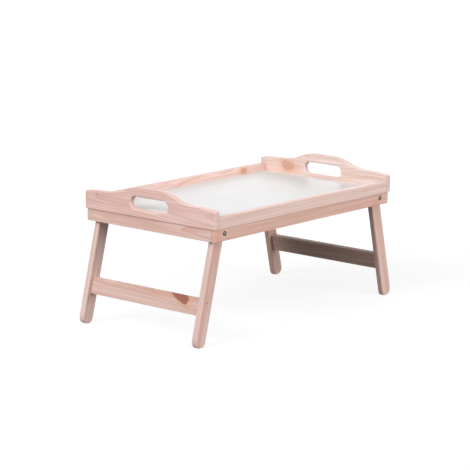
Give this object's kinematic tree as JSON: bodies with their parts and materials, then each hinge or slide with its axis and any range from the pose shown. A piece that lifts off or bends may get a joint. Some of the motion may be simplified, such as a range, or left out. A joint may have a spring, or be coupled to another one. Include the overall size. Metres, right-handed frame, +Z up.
{
  "type": "bed tray table",
  "caption": "Folding bed tray table of pale pine, with camel-back end boards, handle slots, a white tray panel and splayed folding leg frames.",
  "frame": {"origin": "on the floor, under the middle of the tray, with the legs open", "axes": "+X along the table to its right end, +Y across it from the sitter's side to the far side, +Z up"},
  "size_m": [0.67, 0.35, 0.3],
  "materials": {
    "pine": "pale sawn pine with a thin wash",
    "white_panel": "smooth white laminate",
    "nickel_hardware": "nickel plated"
  },
  "bodies": {
    "tray": {"end_board_left": "pine", "end_board_right": "pine", "tray_rail_front": "pine", "tray_rail_back": "pine", "apron_rail_front": "pine", "apron_rail_back": "pine", "apron_strip_left": "pine", "apron_strip_right": "pine", "tray_panel": "white_panel", "pivot_bolt_left_front": "nickel_hardware", "pivot_washer_left_front": "nickel_hardware", "pivot_nut_left_front": "nickel_hardware", "pivot_bolt_left_back": "nickel_hardware", "pivot_washer_left_back": "nickel_hardware", "pivot_nut_left_back": "nickel_hardware", "pivot_bolt_right_front": "nickel_hardware", "pivot_washer_right_front": "nickel_hardware", "pivot_nut_right_front": "nickel_hardware", "pivot_bolt_right_back": "nickel_hardware", "pivot_washer_right_back": "nickel_hardware", "pivot_nut_right_back": "nickel_hardware"},
    "left_leg_frame": {"leg_left_front": "pine", "leg_left_back": "pine", "stretcher_left": "pine"},
    "right_leg_frame": {"leg_right_front": "pine", "leg_right_back": "pine", "stretcher_right": "pine"}
  },
  "joints": [
    {"name": "left_leg_fold", "type": "hinge", "parent": "tray", "child": "left_leg_frame", "pos_m": [-0.26669, 0, 0.2289], "axis": [0, -1, 0], "range_deg": [0, 104]},
    {"name": "right_leg_fold", "type": "hinge", "parent": "tray", "child": "right_leg_frame", "pos_m": [0.26669, 0, 0.2289], "axis": [0, 1, 0], "range_deg": [0, 104]}
  ]
}
